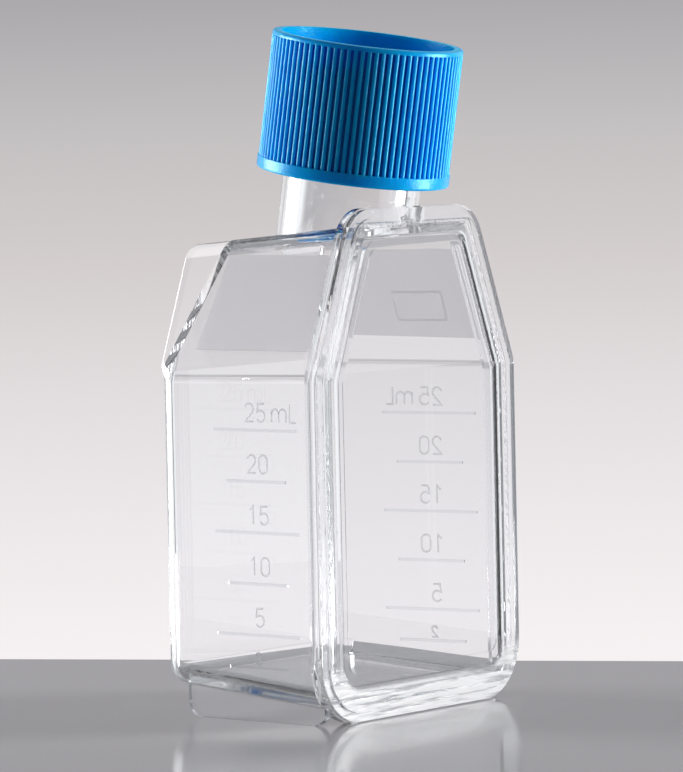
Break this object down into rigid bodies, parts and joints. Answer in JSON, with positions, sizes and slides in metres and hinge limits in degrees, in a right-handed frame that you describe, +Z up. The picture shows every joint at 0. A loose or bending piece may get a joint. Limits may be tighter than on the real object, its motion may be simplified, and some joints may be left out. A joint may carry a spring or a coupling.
{
  "type": "cell culture flask",
  "caption": "Small clear rectangular cell culture flask standing on its end, with a tapered shoulder, a leaning threaded neck and a ribbed vented screw cap.",
  "frame": {"origin": "middle of the whole flask's footprint box, on the ground it stands on", "axes": "+Z up along the standing flask, X across the wide faces, -Y out of the welded plate, the side the neck leans towards"},
  "size_m": [0.0446, 0.0348, 0.0899],
  "materials": {
    "clear_polystyrene": "polished, clear",
    "blue_polyethylene": "satin moulded, finely ribbed",
    "filter_membrane": "matte white"
  },
  "bodies": {
    "flask": {"flask_body": "clear_polystyrene", "top_plate": "clear_polystyrene"},
    "cap_carrier": {"filter_membrane": "filter_membrane"},
    "cap": {"screw_cap": "blue_polyethylene"}
  },
  "joints": [
    {"name": "cap_lift", "type": "slide", "parent": "flask", "child": "cap_carrier", "axis": [0, -0.1668, 0.986], "range_m": [0, 0.01575]},
    {"name": "cap_turn", "type": "hinge", "parent": "cap_carrier", "child": "cap", "pos_m": [0, -0.001, 0.0638], "axis": [0, -0.1668, 0.986], "range_deg": [0, 1620]}
  ],
  "couplings": [
    {"joint": "cap_lift", "follows": "cap_turn", "m_per_rad": 0.00055704}
  ]
}
